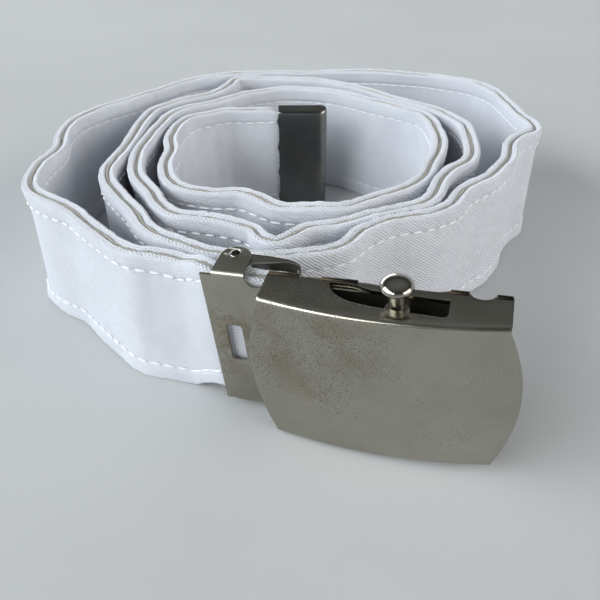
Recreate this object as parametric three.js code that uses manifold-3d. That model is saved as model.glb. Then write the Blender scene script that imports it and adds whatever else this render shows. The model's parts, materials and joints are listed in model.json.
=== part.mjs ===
// White web belt, coiled and standing on its lower edge, with a box-frame friction buckle.
// Units are millimetres and +Z is up. The coil's plan is in X and Y.
// The buckle has its own frame: U along its length, V up its height, W out through its face.
import * as THREE from 'three';
import { mergeVertices } from 'three/addons/utils/BufferGeometryUtils.js';
import Module from 'manifold-3d';

const wasm = await Module();
wasm.setup();

// ---- Strap: a 1 1/4 inch web made of two twill plies over an interlining
const STRAP_WIDTH = 32;
const PLY_THICKNESS = 1.2;
const CORE_THICKNESS = 0.6;
const LAYER_GAP = 0.3;
const CORE_INSET = 1.5; // the interlining stops short of both edges
const STATION_STEP = 4.6; // spacing of the sweep's stations along the strap
const TWIST_LENGTH = 34; // the strap leans over to the buckle's tilt along its last part
const STRAP_HALF = PLY_THICKNESS + LAYER_GAP + CORE_THICKNESS / 2;

// ---- End tip: a sheet ferrule folded round the strap's free end
const TIP_LENGTH = 14.5;
const TIP_SHEET = 0.5;
const TIP_HEIGHT = 32.6;
const TIP_GAP = 0.25;

// ---- Buckle shell
const FACE_HALF_LENGTH = 21.1; // to the corners; the ends bulge past them
const FACE_END_BULGE = 3.4;
const FACE_HALF_HEIGHT = 18.15;
const FACE_END_W = 5.9;
const FACE_BOW = 2.0; // the middle stands this far in front of the corners
const SHEET = 0.8;
const WALL_REAR_W = -1.8;
const LIP_DEPTH = 1.1;

// ---- Hinge plate, its ears and the clamp
const PLATE_LEFT_U = -34;
const PLATE_RIGHT_U = 20.2;
const PLATE_HALF_HEIGHT = 17.05;
const PLATE_SHEET = 0.7;
const EAR_U = -28.6;
const PIN_W = -5.75;
const PIN_RADIUS = 0.9;
const PIN_CLEARANCE = 0.06;
const EAR_OUTER_V = 17.9;
const EAR_SHEET = 0.8;
const SLOT_WIDTH = 3.2;
const SLOT_HEIGHT = 9.6;
const CLAMP_SHEET = 0.7;
const CLAMP_HALF_HEIGHT = 16.85;
const TOOTH_PITCH = 2.4;
const TOOTH_DEPTH = 0.9;

// ---- Locking bar
const BAR_U = 2.6;
const BAR_W = 3.05;
const BAR_RADIUS = 2.1;
const NECK_RADIUS = 1.35;
const KNOB_RADIUS = 2.85;

// ---- Where the buckle sits in the coil's plan
const BUCKLE_YAW = -16;
const BUCKLE_RISE = 2.5;
const BUCKLE_LEAN = 8.3;
const BUCKLE_POS = [15.7, -65.6, 19.9];
const PLAN_CENTRE = [-0.08, 0.73]; // middle of the whole part in the coil's plan

// The strap's centre line in plan, from the tip, anticlockwise and outwards to the buckle.
const COIL = [
  // innermost turn: back, left, front, right
  [7, 40], [-4, 40], [-14, 40], [-22, 40], [-28, 37], [-32, 33], [-34, 26], [-35, 18],
  [-34, 8], [-34, -1], [-32, -8], [-28, -13], [-20, -16], [-14, -17], [-10, -20],
  [-5, -24], [2, -25], [9, -25], [15, -22], [20, -18], [26, -14], [30, -9], [34, 0],
  [37, 10], [38, 20], [38, 29], [36, 36],
  // second turn, with a sharp kink at the front
  [31, 41], [25, 45], [18, 51], [11, 56], [2, 59], [-7, 59], [-15, 56], [-21, 50],
  [-28, 45], [-34, 41], [-38, 34], [-40, 25], [-41, 16], [-42, 6], [-40, -5], [-36, -13],
  [-32, -21], [-28, -27], [-22, -29], [-15, -31], [-10, -34], [-8, -38], [-5, -40],
  [-2, -38], [2, -34], [9, -32], [16, -28], [23, -25], [29, -22], [32, -17], [35, -10],
  [38, -5], [43, 1], [46, 9],
  // third turn, with a corner at the back left and a bump at the right
  [47, 20], [45, 31], [40, 40], [33, 46], [25, 55], [16, 63], [6, 68], [-4, 70],
  [-12, 71], [-18, 71], [-21, 69], [-22, 64], [-25, 58], [-30, 53], [-37, 48], [-43, 42],
  [-45, 33], [-45, 24], [-46, 13], [-47, 3], [-47, -8], [-43, -16], [-38, -24],
  [-33, -33], [-26, -39], [-18, -44], [-8, -46], [2, -45], [9, -42], [14, -36],
  [20, -31], [28, -28], [35, -23], [40, -15], [47, -8], [53, 1], [57, 11], [61, 17],
  [65, 21], [66, 26],
  // outer turn, round to the buckle
  [65, 33], [64, 43], [63, 53], [59, 62], [52, 68], [41, 74], [28, 77], [12, 79],
  [-2, 78], [-16, 77], [-30, 72], [-39, 66], [-46, 57], [-53, 48], [-60, 41], [-65, 33],
  [-66, 22], [-64, 10], [-65, -2], [-64, -12], [-59, -19], [-52, -24], [-47, -30],
  [-41, -37], [-35, -43], [-29, -45], [-23, -47.5],
];
// The strap's last points, in the buckle's frame as U and W.
const STRAP_IN_BUCKLE = [[-36, -4.2], [-31, -2.9], [-25, -2.75], [-17.8, -2.75]];

// ------------------------------------------------------------------ frames
const degrees = (a) => (a * Math.PI) / 180;

function buckleMatrix() {
  const upright = new THREE.Matrix4().makeBasis(
    new THREE.Vector3(1, 0, 0),
    new THREE.Vector3(0, 0, 1),
    new THREE.Vector3(0, -1, 0),
  );
  const turn = new THREE.Matrix4().makeRotationZ(degrees(BUCKLE_YAW));
  const rise = new THREE.Matrix4().makeRotationY(-degrees(BUCKLE_RISE));
  const lean = new THREE.Matrix4().makeRotationX(degrees(BUCKLE_LEAN));
  const place = new THREE.Matrix4().makeTranslation(...BUCKLE_POS);
  return place.multiply(turn).multiply(rise).multiply(lean).multiply(upright);
}
const BUCKLE = buckleMatrix();
const buckleUp = new THREE.Vector3(0, 1, 0).transformDirection(BUCKLE);
const buckleOut = new THREE.Vector3(0, 0, 1).transformDirection(BUCKLE);

// ------------------------------------------------------------------ strap
function strapCurve() {
  const middle = STRAP_WIDTH / 2;
  const points = COIL.map(([x, y]) => new THREE.Vector3(x, y, middle));
  for (const [u, w] of STRAP_IN_BUCKLE) {
    points.push(new THREE.Vector3(u, 0, w).applyMatrix4(BUCKLE));
  }
  const curve = new THREE.CatmullRomCurve3(points, false, 'centripetal');
  curve.arcLengthDivisions = 4000;
  return curve;
}

// Stations along the strap: a point on the centre line, the outward normal and the up direction.
function strapStations() {
  const curve = strapCurve();
  const length = curve.getLength();
  const count = Math.round(length / STATION_STEP);
  const stations = [];
  for (let i = 0; i <= count; i += 1) {
    const point = curve.getPointAt(i / count);
    const along = curve.getTangentAt(i / count);
    const left = length * (1 - i / count);
    const twist = THREE.MathUtils.smoothstep(TWIST_LENGTH - left, 0, TWIST_LENGTH * 0.7);
    const up = new THREE.Vector3(0, 0, 1).lerp(buckleUp, twist).normalize();
    const out = new THREE.Vector3().crossVectors(along, up).normalize();
    // nothing of the web goes below the surface it stands on
    point.z = Math.max(point.z, (STRAP_WIDTH / 2) * up.z + STRAP_HALF * Math.abs(out.z));
    stations.push({ point, out, up });
  }
  return stations;
}

// A closed bar swept through the stations, between two offsets along the normal.
function sweptLayer(stations, inner, outer, inset) {
  const half = STRAP_WIDTH / 2 - inset;
  const corners = [[inner, -half], [outer, -half], [outer, half], [inner, half]];
  const positions = [];
  for (const { point, out, up } of stations) {
    for (const [n, z] of corners) {
      const p = point.clone().addScaledVector(out, n).addScaledVector(up, z);
      positions.push(p.x, p.y, p.z);
    }
  }
  const index = [];
  for (let i = 0; i < stations.length - 1; i += 1) {
    for (let k = 0; k < 4; k += 1) {
      const a = 4 * i + k;
      const b = 4 * i + ((k + 1) % 4);
      index.push(a, a + 4, b, b, a + 4, b + 4);
    }
  }
  const last = 4 * (stations.length - 1);
  index.push(0, 1, 2, 0, 2, 3, last, last + 2, last + 1, last, last + 3, last + 2);
  return closedBody(positions, index);
}

// An indexed body whose faces are turned outwards.
function closedBody(positions, index) {
  const geometry = new THREE.BufferGeometry();
  geometry.setAttribute('position', new THREE.Float32BufferAttribute(positions, 3));
  geometry.setIndex(index);
  if (signedVolume(geometry) < 0) {
    for (let i = 0; i < index.length; i += 3) {
      [index[i], index[i + 1]] = [index[i + 1], index[i]];
    }
    geometry.setIndex(index);
  }
  return geometry;
}

function signedVolume(geometry) {
  const p = geometry.attributes.position;
  const tri = geometry.index.array;
  const [a, b, c] = [new THREE.Vector3(), new THREE.Vector3(), new THREE.Vector3()];
  let sum = 0;
  for (let i = 0; i < tri.length; i += 3) {
    a.fromBufferAttribute(p, tri[i]);
    b.fromBufferAttribute(p, tri[i + 1]);
    c.fromBufferAttribute(p, tri[i + 2]);
    sum += a.dot(b.cross(c)) / 6;
  }
  return sum;
}

// ------------------------------------------------------------------ solids
function toSolid(geometry) {
  const bare = new THREE.BufferGeometry();
  bare.setAttribute('position', geometry.attributes.position.clone());
  if (geometry.index) {
    bare.setIndex(geometry.index.clone());
  }
  const merged = mergeVertices(bare, 1e-4);
  return new wasm.Manifold(new wasm.Mesh({
    numProp: 3,
    vertProperties: new Float32Array(merged.attributes.position.array),
    triVerts: new Uint32Array(merged.index.array),
  }));
}

function toGeometry(solid) {
  const mesh = solid.getMesh();
  const geometry = new THREE.BufferGeometry();
  geometry.setAttribute('position', new THREE.Float32BufferAttribute(mesh.vertProperties, 3));
  geometry.setIndex(Array.from(mesh.triVerts));
  return geometry;
}

// A sheet lying in U and W, spanning V from low to high.
function sheetUW(outline, low, high, segments = 8) {
  const geometry = new THREE.ExtrudeGeometry(outline, {
    depth: high - low,
    bevelEnabled: false,
    curveSegments: segments,
  });
  geometry.applyMatrix4(new THREE.Matrix4().makeBasis(
    new THREE.Vector3(1, 0, 0),
    new THREE.Vector3(0, 0, 1),
    new THREE.Vector3(0, -1, 0),
  ));
  geometry.translate(0, high, 0);
  return toSolid(geometry);
}

// A sheet lying in U and V, spanning W from low to high.
function sheetUV(outline, low, high, segments = 8) {
  const geometry = new THREE.ExtrudeGeometry(outline, {
    depth: high - low,
    bevelEnabled: false,
    curveSegments: segments,
  });
  geometry.translate(0, 0, low);
  return toSolid(geometry);
}

function polygon(points) {
  return new THREE.Shape(points.map(([x, y]) => new THREE.Vector2(x, y)));
}

function rectangle(x0, x1, y0, y1) {
  return polygon([[x0, y0], [x1, y0], [x1, y1], [x0, y1]]);
}

// An upright cylinder along V.
function roundBar(radius, u, w, low, high, sides = 20) {
  const geometry = new THREE.CylinderGeometry(radius, radius, high - low, sides);
  geometry.translate(u, (low + high) / 2, w);
  return toSolid(geometry);
}

// ------------------------------------------------------------------ buckle shell
function faceW(u) {
  return FACE_END_W + FACE_BOW * (1 - (u / FACE_HALF_LENGTH) ** 2);
}

function facePanel() {
  const reach = FACE_HALF_LENGTH + FACE_END_BULGE;
  const steps = 14;
  const front = [];
  const back = [];
  for (let i = 0; i <= steps; i += 1) {
    const u = -reach + (2 * reach * i) / steps;
    front.push([u, faceW(u)]);
    back.unshift([u, faceW(u) - SHEET]);
  }
  const bowed = sheetUW(polygon([...front, ...back]), -FACE_HALF_HEIGHT, FACE_HALF_HEIGHT);
  // the outline: straight top and bottom, and ends that are shallow arcs
  const outline = new THREE.Shape();
  const h = FACE_HALF_HEIGHT;
  const radius = (h * h + FACE_END_BULGE ** 2) / (2 * FACE_END_BULGE);
  const sweep = Math.asin(h / radius);
  const centre = FACE_HALF_LENGTH + FACE_END_BULGE - radius;
  outline.moveTo(-FACE_HALF_LENGTH, -h);
  outline.absarc(centre, 0, radius, -sweep, sweep, false);
  outline.absarc(-centre, 0, radius, Math.PI - sweep, Math.PI + sweep, false);
  return bowed.intersect(sheetUV(outline, 0, 10, 10));
}

// The slot the bar's neck rides in: wide at the left, where its rear edge steps back.
function wallSlot() {
  const slot = new THREE.Shape();
  slot.moveTo(-9.6, -0.9);
  slot.quadraticCurveTo(-9, 2.2, -5.2, 3.8);
  slot.lineTo(-2, 4.4);
  slot.lineTo(3, 4.75);
  slot.lineTo(10, 5.05);
  slot.quadraticCurveTo(11.1, 5, 11.1, 3.9);
  slot.lineTo(11.1, 0.9);
  slot.lineTo(-1.2, 0.55);
  slot.bezierCurveTo(-3.6, 0.4, -4, -1.1, -6.4, -1.2);
  slot.closePath();
  return slot;
}

function wall(side) {
  const end = FACE_HALF_LENGTH - 0.1;
  const rear = WALL_REAR_W;
  const front = faceW(end) - SHEET / 2;
  const outline = new THREE.Shape();
  outline.moveTo(-end, front);
  outline.lineTo(-end, rear);
  outline.lineTo(-3, rear);
  outline.lineTo(-1, rear + 0.5);
  outline.lineTo(9.5, rear + 0.3);
  outline.lineTo(10.6, rear - 0.2);
  outline.lineTo(14.1, rear - 0.2);
  outline.quadraticCurveTo(16.2, rear + 3, 18.1, rear - 0.2);
  outline.lineTo(end, rear - 0.2);
  outline.lineTo(end, front);
  const steps = 8;
  for (let i = 1; i < steps; i += 1) {
    const u = end - (2 * end * i) / steps;
    outline.lineTo(u, faceW(u) - SHEET / 2);
  }
  outline.holes.push(wallSlot());
  const outer = side * FACE_HALF_HEIGHT;
  const inner = side * (FACE_HALF_HEIGHT - SHEET);
  return sheetUW(outline, Math.min(inner, outer), Math.max(inner, outer), 6);
}

// A lip turned in from a wall's rear edge, between two places along U.
function lip(side, from, to, rear) {
  const root = FACE_HALF_HEIGHT - SHEET / 2;
  const tip = FACE_HALF_HEIGHT - SHEET - LIP_DEPTH;
  const outline = rectangle(from, to, Math.min(side * root, side * tip),
    Math.max(side * root, side * tip));
  return sheetUV(outline, rear, rear + PLATE_SHEET);
}

function buckleShell() {
  let shell = facePanel();
  for (const side of [1, -1]) {
    shell = shell.add(wall(side));
    shell = shell.add(lip(side, -20.9, -15.3, WALL_REAR_W));
    shell = shell.add(lip(side, -11.2, -4.8, WALL_REAR_W));
    shell = shell.add(lip(side, 10.7, 14, WALL_REAR_W - 0.2));
    shell = shell.add(lip(side, 18.3, 20.9, WALL_REAR_W - 0.2));
  }
  return shell;
}

// ------------------------------------------------------------------ hinge plate
function earOutline() {
  // straight sides from the bend, then a half round just short of the pin
  const half = 3.05;
  const roundW = PIN_W + 0.8;
  const ear = new THREE.Shape();
  ear.moveTo(EAR_U - half, -0.35);
  ear.lineTo(EAR_U - half, roundW);
  ear.absarc(EAR_U, roundW, half, Math.PI, 2 * Math.PI, false);
  ear.lineTo(EAR_U + half, -0.35);
  ear.closePath();
  return ear;
}

function hingePlate() {
  const h = PLATE_HALF_HEIGHT;
  const slot = rectangle(-SLOT_WIDTH / 2, SLOT_WIDTH / 2, -SLOT_HEIGHT / 2, SLOT_HEIGHT / 2);
  const outline = rectangle(PLATE_LEFT_U, PLATE_RIGHT_U, -h, h);
  outline.holes.push(new THREE.Path(slot.getPoints().map((p) => p.add(new THREE.Vector2(-29.2, 0)))));
  let plate = sheetUV(outline, -PLATE_SHEET, 0);
  for (const side of [1, -1]) {
    const ear = [side * (EAR_OUTER_V - EAR_SHEET), side * EAR_OUTER_V].sort((a, b) => a - b);
    const bend = [side * (h - 0.2), side * EAR_OUTER_V].sort((a, b) => a - b);
    plate = plate.add(sheetUW(earOutline(), ear[0], ear[1], 6));
    plate = plate.add(sheetUV(rectangle(EAR_U - 3.1, EAR_U + 3.1, ...bend), -PLATE_SHEET, 0));
    // the round relief between the ear's bend and the shell
    plate = plate.subtract(reliefNotch(side));
  }
  const bore = PIN_RADIUS + PIN_CLEARANCE;
  return plate.subtract(roundBar(bore, EAR_U, PIN_W, -20, 20, 24));
}

function reliefNotch(side) {
  const geometry = new THREE.CylinderGeometry(2, 2, 4, 16);
  geometry.rotateX(Math.PI / 2);
  geometry.translate(-23.4, side * PLATE_HALF_HEIGHT, 0);
  return toSolid(geometry);
}

// ------------------------------------------------------------------ clamp
// A toothed plate behind the strap, with an arm at each edge that hangs on the pin.
function clampProfile() {
  const t = CLAMP_SHEET;
  return polygon([
    [-26.6, -6.9], [-18.6, -6.2], [-17.1, -4.9],
    [-16.6, -5.4], [-18.2, -6.2 - t * 1.1], [-26.6, -6.9 - t],
  ]);
}

function clampArm() {
  const arm = new THREE.Shape();
  arm.moveTo(-18.6, -6.5);
  arm.lineTo(-26, -4.6);
  arm.absarc(EAR_U, PIN_W, 1.7, degrees(50), degrees(290), false);
  arm.lineTo(-26.4, -6.9 - CLAMP_SHEET);
  arm.lineTo(-18.6, -6.2 - CLAMP_SHEET);
  arm.closePath();
  return arm;
}

function clamp() {
  const h = CLAMP_HALF_HEIGHT;
  let body = sheetUW(clampProfile(), -h, h);
  const teeth = Math.floor((2 * h) / TOOTH_PITCH);
  for (let i = 0; i < teeth; i += 1) {
    const v = (i - (teeth - 1) / 2) * TOOTH_PITCH;
    const gap = polygon([
      [-18.2 + TOOTH_DEPTH, v], [-15, v - TOOTH_PITCH * 0.6], [-15, v + TOOTH_PITCH * 0.6],
    ]);
    body = body.subtract(sheetUV(gap, -6.6, -4));
  }
  for (const side of [1, -1]) {
    const arm = [side * (h - CLAMP_SHEET), side * h].sort((a, b) => a - b);
    body = body.add(sheetUW(clampArm(), arm[0], arm[1], 8));
  }
  const bore = PIN_RADIUS + PIN_CLEARANCE;
  return body.subtract(roundBar(bore, EAR_U, PIN_W, -20, 20, 24));
}

function clampPin() {
  return roundBar(PIN_RADIUS, EAR_U, PIN_W, -EAR_OUTER_V - 0.3, EAR_OUTER_V + 0.3, 24);
}

// ------------------------------------------------------------------ locking bar and knob
function turned(profile, sides = 24) {
  const points = profile.map(([r, v]) => new THREE.Vector2(r, v));
  const geometry = new THREE.LatheGeometry(points, sides);
  geometry.translate(BAR_U, 0, BAR_W);
  return toSolid(geometry);
}

const BAR_END_V = FACE_HALF_HEIGHT - SHEET - 0.25;
const SPIGOT_RADIUS = 0.8;
const NECK_TOP_V = 20.6;

function lockBar() {
  return turned([
    [0, -FACE_HALF_HEIGHT - 0.3], [NECK_RADIUS, -FACE_HALF_HEIGHT - 0.3],
    [NECK_RADIUS, -BAR_END_V], [BAR_RADIUS, -BAR_END_V], [BAR_RADIUS, BAR_END_V],
    [NECK_RADIUS, BAR_END_V], [NECK_RADIUS, NECK_TOP_V],
    [SPIGOT_RADIUS, NECK_TOP_V], [SPIGOT_RADIUS, NECK_TOP_V + 1], [0, NECK_TOP_V + 1],
  ], 20);
}

function lockKnob() {
  const under = NECK_TOP_V + 0.2;
  const bore = SPIGOT_RADIUS + 0.15;
  return turned([
    [0, under + 1.1], [bore, under + 1.1], [bore, under], [1.6, under],
    [2.55, under + 0.35], [KNOB_RADIUS, under + 0.95], [2.6, under + 1.6],
    [1.8, under + 2.1], [0.9, under + 2.35], [0, under + 2.4],
  ], 24);
}

// ------------------------------------------------------------------ end tip
// A U of sheet round the free end: two cheeks joined by the rounded fold.
function endTip() {
  const inner = STRAP_HALF + TIP_GAP;
  const outer = inner + TIP_SHEET;
  const fold = COIL[0][0] + TIP_GAP + 0.6;
  const open = fold - TIP_LENGTH + TIP_SHEET;
  const corner = 1.6;
  const shape = new THREE.Shape();
  shape.moveTo(open, outer);
  shape.lineTo(open, inner);
  shape.lineTo(fold, inner);
  shape.lineTo(fold, -inner);
  shape.lineTo(open, -inner);
  shape.lineTo(open, -outer);
  shape.lineTo(fold + TIP_SHEET - corner, -outer);
  shape.quadraticCurveTo(fold + TIP_SHEET, -outer, fold + TIP_SHEET, -outer + corner);
  shape.lineTo(fold + TIP_SHEET, outer - corner);
  shape.quadraticCurveTo(fold + TIP_SHEET, outer, fold + TIP_SHEET - corner, outer);
  shape.closePath();
  const geometry = new THREE.ExtrudeGeometry(shape, {
    depth: TIP_HEIGHT,
    bevelEnabled: false,
    curveSegments: 5,
  });
  geometry.translate(0, COIL[0][1], 0);
  return toGeometry(toSolid(geometry));
}

// ------------------------------------------------------------------ assembly
const belt = new THREE.Group();
belt.name = 'web_belt';

function add(name, geometry, color, roughness, metalness) {
  geometry.translate(-PLAN_CENTRE[0], -PLAN_CENTRE[1], 0);
  const flat = geometry.toNonIndexed();
  flat.computeVertexNormals();
  const material = new THREE.MeshStandardMaterial({ color, roughness, metalness });
  const mesh = new THREE.Mesh(flat, material);
  mesh.name = name;
  belt.add(mesh);
}

function addBucklePiece(name, solid, color) {
  const geometry = toGeometry(solid);
  geometry.applyMatrix4(BUCKLE);
  add(name, geometry, color, 0.35, 1);
}

const stations = strapStations();
const plyInner = STRAP_HALF - PLY_THICKNESS;
add('outer_ply', sweptLayer(stations, plyInner, STRAP_HALF, 0), 0xf0f1f6, 0.9, 0);
add('interlining', sweptLayer(stations, -CORE_THICKNESS / 2, CORE_THICKNESS / 2, CORE_INSET),
  0xe6dfcc, 0.95, 0);
add('inner_ply', sweptLayer(stations, -STRAP_HALF, -plyInner, 0), 0xf0f1f6, 0.9, 0);
add('end_tip', endTip(), 0x4a4a44, 0.3, 1);
addBucklePiece('buckle_shell', buckleShell(), 0x8f8e84);
addBucklePiece('hinge_plate', hingePlate(), 0x8a897f);
addBucklePiece('clamp', clamp(), 0x7c7b72);
addBucklePiece('clamp_pin', clampPin(), 0x8a897f);
addBucklePiece('lock_bar', lockBar(), 0x8a897f);
addBucklePiece('lock_knob', lockKnob(), 0x99988e);

export default belt;
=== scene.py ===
# %% [markdown]
# # A white web belt with a friction buckle
# The CAD model comes in first and stays where it is: it says where the strap runs, where the buckle
# sits and how its parts move. Everything below is built around it, in metres, and rides on its bodies.

# %% Load the frame
import json
import math

import bmesh
import bpy
import numpy as np
from mathutils import Matrix, Vector


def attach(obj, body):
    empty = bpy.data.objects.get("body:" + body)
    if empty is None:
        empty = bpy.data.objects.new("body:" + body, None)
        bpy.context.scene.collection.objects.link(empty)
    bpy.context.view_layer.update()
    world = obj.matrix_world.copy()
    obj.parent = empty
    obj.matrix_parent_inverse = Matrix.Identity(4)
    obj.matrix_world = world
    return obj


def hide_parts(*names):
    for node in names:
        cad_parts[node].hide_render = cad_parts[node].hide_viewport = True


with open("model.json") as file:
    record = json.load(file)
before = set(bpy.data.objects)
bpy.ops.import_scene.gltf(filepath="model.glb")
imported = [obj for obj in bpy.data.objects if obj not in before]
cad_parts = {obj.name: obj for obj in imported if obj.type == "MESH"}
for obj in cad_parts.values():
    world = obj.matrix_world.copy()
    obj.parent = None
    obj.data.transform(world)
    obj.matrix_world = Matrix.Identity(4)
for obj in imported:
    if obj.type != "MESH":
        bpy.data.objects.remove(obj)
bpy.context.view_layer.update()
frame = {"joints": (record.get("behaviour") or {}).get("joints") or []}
MM = 0.001

# %% [markdown]
# ## The camera
# The belt is seen from low down in front, with the buckle near the lens. A lens of moderate length,
# close to the object, gives the strong perspective of a view held in the hand.

# %% Camera
CAMERA_PLACE = (0.1 * MM, -166.7 * MM, 103.0 * MM)
CAMERA_PITCH = 34.39  # degrees below the horizon
CAMERA_ROLL = -0.27
FOCAL_IN_FRAME_WIDTHS = 7 / 6


def added(name, data):
    """An object made from its data and put in the scene."""
    obj = bpy.data.objects.new(name, data)
    bpy.context.scene.collection.objects.link(obj)
    return obj


camera_data = bpy.data.cameras.new("camera")
camera_data.sensor_width = 36.0
camera_data.lens = camera_data.sensor_width * FOCAL_IN_FRAME_WIDTHS
camera_data.clip_start = 5 * MM
camera = added("camera", camera_data)
aim = Matrix.Rotation(math.radians(90 - CAMERA_PITCH), 4, "X") @ Matrix.Rotation(
    math.radians(CAMERA_ROLL), 4, "Z"
)
camera.matrix_world = Matrix.Translation(CAMERA_PLACE) @ aim
bpy.context.scene.camera = camera
print("camera lens", round(camera_data.lens, 1), "mm")

# %% [markdown]
# ## The buckle's own frame
# The buckle leans and turns in the coil, so its parts are drawn in a frame of its own: U runs along
# its length, V up its height and W out through its face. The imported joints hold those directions:
# the buckle pulls off the strap along U, and the clamp turns about V through its pin.

# %% The buckle's frame, from the joints
joints = {j["name"]: j for j in frame["joints"]}
U = Vector(joints["buckle_pull_off"]["axis"]).normalized()
V = Vector(joints["clamp_hinge"]["axis"]).normalized()
W = U.cross(V)
PIN_U, PIN_W = -28.6, -5.75
ORIGIN = Vector(joints["clamp_hinge"]["pos_m"]) - (U * PIN_U + W * PIN_W) * MM
BUCKLE = Matrix.Translation(ORIGIN) @ Matrix(
    ((U.x, V.x, W.x), (U.y, V.y, W.y), (U.z, V.z, W.z))
).to_4x4() @ Matrix.Scale(MM, 4)
print("buckle origin in mm", [round(c / MM, 1) for c in ORIGIN])

# %% [markdown]
# ## Small helpers
# Each piece is a mesh made from numbers in millimetres and placed once, so that its object stays at
# the origin, unturned and unscaled.


# %% Mesh helpers
def mesh_object(name, points, faces, matrix=None):
    """A mesh object from points and faces; matrix places it in the row frame."""
    mesh = bpy.data.meshes.new(name)
    mesh.from_pydata([tuple(p) for p in points], [], [tuple(f) for f in faces])
    if matrix is not None:
        mesh.transform(matrix)
    mesh.update()
    return added(name, mesh)


def outward(obj):
    """Merges doubles and turns all faces out."""
    work = bmesh.new()
    work.from_mesh(obj.data)
    bmesh.ops.remove_doubles(work, verts=work.verts, dist=1e-7)
    bmesh.ops.recalc_face_normals(work, faces=work.faces)
    work.to_mesh(obj.data)
    work.free()
    obj.data.update()


def smooth(obj, angle=35.0):
    """Smooth shading that keeps edges sharper than the angle."""
    for polygon in obj.data.polygons:
        polygon.use_smooth = True
    obj.data.set_sharp_from_angle(angle=math.radians(angle))


def baked(obj):
    """Turns an object's modifiers into plain mesh."""
    bpy.context.view_layer.update()
    evaluated = obj.evaluated_get(bpy.context.evaluated_depsgraph_get())
    mesh = bpy.data.meshes.new_from_object(evaluated)
    obj.modifiers.clear()
    obj.data = mesh
    return obj


def joined(name, parts):
    """One object from several, with their materials kept."""
    work = bmesh.new()
    materials = []
    for part in parts:
        mesh = part.data
        for material in mesh.materials:
            if material not in materials:
                materials.append(material)
        where = [materials.index(m) for m in mesh.materials] or [0]
        first = len(work.faces)
        work.from_mesh(mesh)
        work.faces.ensure_lookup_table()
        for face in work.faces[first:]:
            face.material_index = where[face.material_index]
    mesh = bpy.data.meshes.new(name)
    work.to_mesh(mesh)
    work.free()
    for material in materials:
        mesh.materials.append(material)
    for part in parts:
        bpy.data.objects.remove(part)
    return added(name, mesh)


def paint(obj, material):
    """One material on the whole object."""
    obj.data.materials.clear()
    obj.data.materials.append(material)
    return obj


# %% Node helpers
def new_material(name):
    material = bpy.data.materials.new(name)
    material.use_nodes = True
    tree = material.node_tree
    shader = tree.nodes["Principled BSDF"]
    return material, tree, shader


def node(tree, kind, inputs=None, **settings):
    """A node with its settings and plain input values, by socket name or number."""
    made = tree.nodes.new(kind)
    for key, value in settings.items():
        setattr(made, key, value)
    for key, value in (inputs or {}).items():
        made.inputs[key].default_value = value
    return made


def ramp(tree, source, stops):
    """A colour ramp on a value, from (position, colour or grey) stops."""
    made = tree.nodes.new("ShaderNodeValToRGB")
    elements = made.color_ramp.elements
    while len(elements) < len(stops):
        elements.new(0.5)
    for element, (position, color) in zip(elements, stops):
        element.position = position
        rgb = (color, color, color) if isinstance(color, (int, float)) else color
        element.color = (*rgb, 1.0)
    tree.links.new(source, made.inputs["Fac"])
    return made.outputs["Color"]


def mixed(tree, factor, a, b, blend="MIX"):
    """A colour mix; a and b are sockets or colours, factor a socket or number."""
    made = tree.nodes.new("ShaderNodeMix")
    made.data_type = "RGBA"
    made.blend_type = blend
    for socket, value in ((made.inputs["Factor"], factor), (made.inputs["A"], a), (made.inputs["B"], b)):
        if isinstance(value, bpy.types.NodeSocket):
            tree.links.new(value, socket)
        elif isinstance(value, (int, float)):
            socket.default_value = value
        else:
            socket.default_value = (*value, 1.0)
    return made.outputs["Result"]


def math_node(tree, operation, a, b=None):
    """A math node on sockets or numbers."""
    made = node(tree, "ShaderNodeMath", operation=operation)
    for socket, value in zip(made.inputs, (a, b)):
        if isinstance(value, bpy.types.NodeSocket):
            tree.links.new(value, socket)
        elif value is not None:
            socket.default_value = value
    return made.outputs["Value"]


def bump(tree, shader, layers):
    """Stacks bump nodes: each layer is (height socket, distance in metres, strength)."""
    normal = None
    for height, distance, strength in layers:
        made = node(tree, "ShaderNodeBump", {"Strength": strength, "Distance": distance})
        tree.links.new(height, made.inputs["Height"])
        if normal is not None:
            tree.links.new(normal, made.inputs["Normal"])
        normal = made.outputs["Normal"]
    tree.links.new(normal, shader.inputs["Normal"])


# %% [markdown]
# ## White cotton twill
# Twill shows fine slanted ribs. The strap's UV map holds millimetres along and across the web, so
# the ribs keep their true pitch round every bend. A slow noise makes the cloth a little uneven, and
# a soft sheen gives its edges the pale glow of brushed cotton.


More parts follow.
